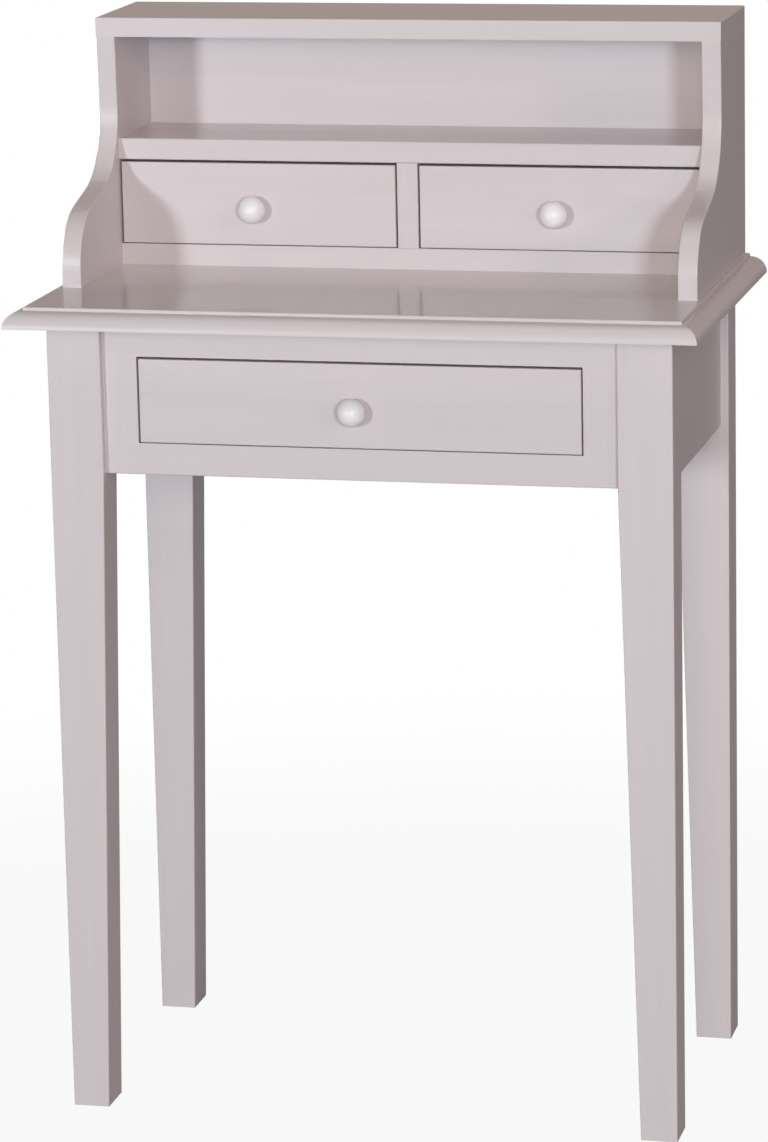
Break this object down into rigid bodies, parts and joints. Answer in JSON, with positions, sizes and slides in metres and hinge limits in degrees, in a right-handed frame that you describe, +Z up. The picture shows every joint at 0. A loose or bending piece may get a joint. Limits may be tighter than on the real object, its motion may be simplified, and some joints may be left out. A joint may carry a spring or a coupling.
{
  "type": "bonheur du jour",
  "caption": "Small painted writing desk on tapered legs, with a wide drawer and a hutch of small drawers under an open shelf between S-curved sides.",
  "frame": {"origin": "on the floor, under the middle of the desk top", "axes": "+Z up, +Y to the back and the wall, +X to the right as one sits at the desk"},
  "size_m": [0.634, 0.386, 1],
  "materials": {
    "painted_wood": "pale pinkish grey satin paint with the grain showing through",
    "bare_wood": "bare planed wood",
    "plywood": "bare thin plywood",
    "knob_lacquer": "turned wood with white satin lacquer",
    "steel": "zinc plated"
  },
  "bodies": {
    "desk": {"front_left_leg": "painted_wood", "front_right_leg": "painted_wood", "back_left_leg": "painted_wood", "back_right_leg": "painted_wood", "front_bottom_rail": "painted_wood", "front_top_rail": "painted_wood", "front_left_stile": "painted_wood", "front_right_stile": "painted_wood", "left_apron": "painted_wood", "right_apron": "painted_wood", "back_apron": "painted_wood", "desk_top": "painted_wood", "hutch_left_side": "painted_wood", "hutch_right_side": "painted_wood", "hutch_top": "painted_wood", "hutch_floor": "painted_wood", "hutch_shelf": "painted_wood", "hutch_divider": "painted_wood", "hutch_back": "painted_wood", "left_runner": "bare_wood", "right_runner": "bare_wood", "left_kicker": "bare_wood", "right_kicker": "bare_wood", "left_cleat": "bare_wood", "right_cleat": "bare_wood", "desk_drawer_stops": "bare_wood", "hutch_drawer_stops": "bare_wood", "hutch_dowels": "bare_wood", "cleat_screws": "steel", "hutch_screws": "steel"},
    "desk_drawer": {"desk_drawer_front": "painted_wood", "desk_drawer_left_side": "bare_wood", "desk_drawer_right_side": "bare_wood", "desk_drawer_back": "bare_wood", "desk_drawer_bottom": "plywood", "desk_drawer_knob": "knob_lacquer", "desk_drawer_knob_screw": "steel"},
    "hutch_left_drawer": {"hutch_left_drawer_front": "painted_wood", "hutch_left_drawer_left_side": "bare_wood", "hutch_left_drawer_right_side": "bare_wood", "hutch_left_drawer_back": "bare_wood", "hutch_left_drawer_bottom": "plywood", "hutch_left_drawer_knob": "knob_lacquer", "hutch_left_drawer_knob_screw": "steel"},
    "hutch_right_drawer": {"hutch_right_drawer_front": "painted_wood", "hutch_right_drawer_left_side": "bare_wood", "hutch_right_drawer_right_side": "bare_wood", "hutch_right_drawer_back": "bare_wood", "hutch_right_drawer_bottom": "plywood", "hutch_right_drawer_knob": "knob_lacquer", "hutch_right_drawer_knob_screw": "steel"}
  },
  "joints": [
    {"name": "desk_drawer_slide", "type": "slide", "parent": "desk", "child": "desk_drawer", "axis": [0, -1, 0], "range_m": [0, 0.2]},
    {"name": "hutch_left_drawer_slide", "type": "slide", "parent": "desk", "child": "hutch_left_drawer", "axis": [0, -1, 0], "range_m": [0, 0.07]},
    {"name": "hutch_right_drawer_slide", "type": "slide", "parent": "desk", "child": "hutch_right_drawer", "axis": [0, -1, 0], "range_m": [0, 0.07]}
  ]
}
